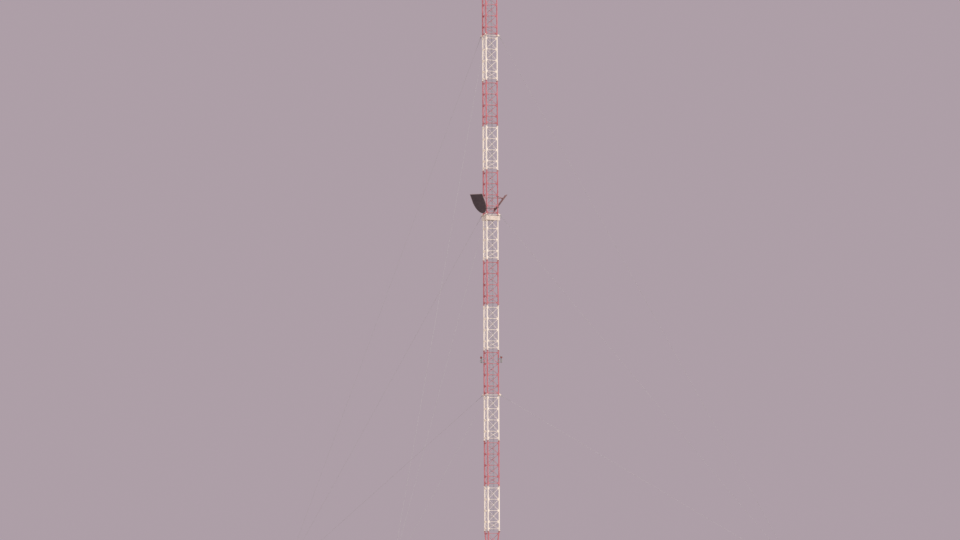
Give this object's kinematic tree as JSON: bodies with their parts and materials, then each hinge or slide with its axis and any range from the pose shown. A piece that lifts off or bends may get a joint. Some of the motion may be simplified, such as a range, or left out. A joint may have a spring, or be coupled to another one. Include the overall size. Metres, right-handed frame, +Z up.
{
  "type": "guyed lattice radio mast, scale model at 1:2",
  "caption": "Slender guyed lattice radio mast on a pier, painted in red and white bands, with tilted shield-shaped reflectors, ladder and lamps, as a half-size scale model.",
  "frame": {"origin": "on the ground, under the middle of the pier", "axes": "+Z up along the mast; legs A, B and C stand at 150, 270 and 30 degrees from +X, so leg B is over -Y"},
  "size_m": [38.1712, 33.0572, 39.812],
  "materials": {
    "red_paint": "faded, chalky",
    "white_paint": "faded, chalky",
    "galvanised_steel": "weathered zinc",
    "guy_steel": "weathered zinc",
    "reflector_sheet": "dull",
    "lamp_lens": "clear red",
    "concrete": "cast, weathered"
  },
  "bodies": {
    "root": {"base_pier": "concrete", "pivot_base": "galvanised_steel", "section_01": "red_paint", "section_02": "white_paint", "section_03": "red_paint", "section_04": "white_paint", "section_05": "red_paint", "section_06": "white_paint", "section_07": "red_paint", "section_08": "white_paint", "section_09": "red_paint", "section_10": "white_paint", "section_11": "red_paint", "section_12": "white_paint", "section_13": "red_paint", "guy_collar_lower": "red_paint", "guy_collar_middle": "red_paint", "guy_collar_upper": "red_paint", "guy_lower_a": "guy_steel", "guy_lower_b": "guy_steel", "guy_lower_c": "guy_steel", "guy_middle_a": "guy_steel", "guy_middle_b": "guy_steel", "guy_middle_c": "guy_steel", "guy_upper_a": "guy_steel", "guy_upper_b": "guy_steel", "guy_upper_c": "guy_steel", "anchor_block_a": "concrete", "anchor_block_b": "concrete", "anchor_block_c": "concrete", "anchor_shaft_a": "galvanised_steel", "anchor_shaft_b": "galvanised_steel", "anchor_shaft_c": "galvanised_steel", "reflector_girder": "white_paint", "front_reflector": "reflector_sheet", "front_reflector_frame": "red_paint", "front_reflector_mount": "red_paint", "rear_reflector": "reflector_sheet", "rear_reflector_frame": "red_paint", "rear_reflector_mount": "red_paint", "ladder_lower": "galvanised_steel", "ladder_upper": "galvanised_steel", "lamp_conduit": "galvanised_steel", "side_lamps": "lamp_lens", "top_frame": "red_paint", "top_beacon": "lamp_lens"}
  },
  "joints": []
}
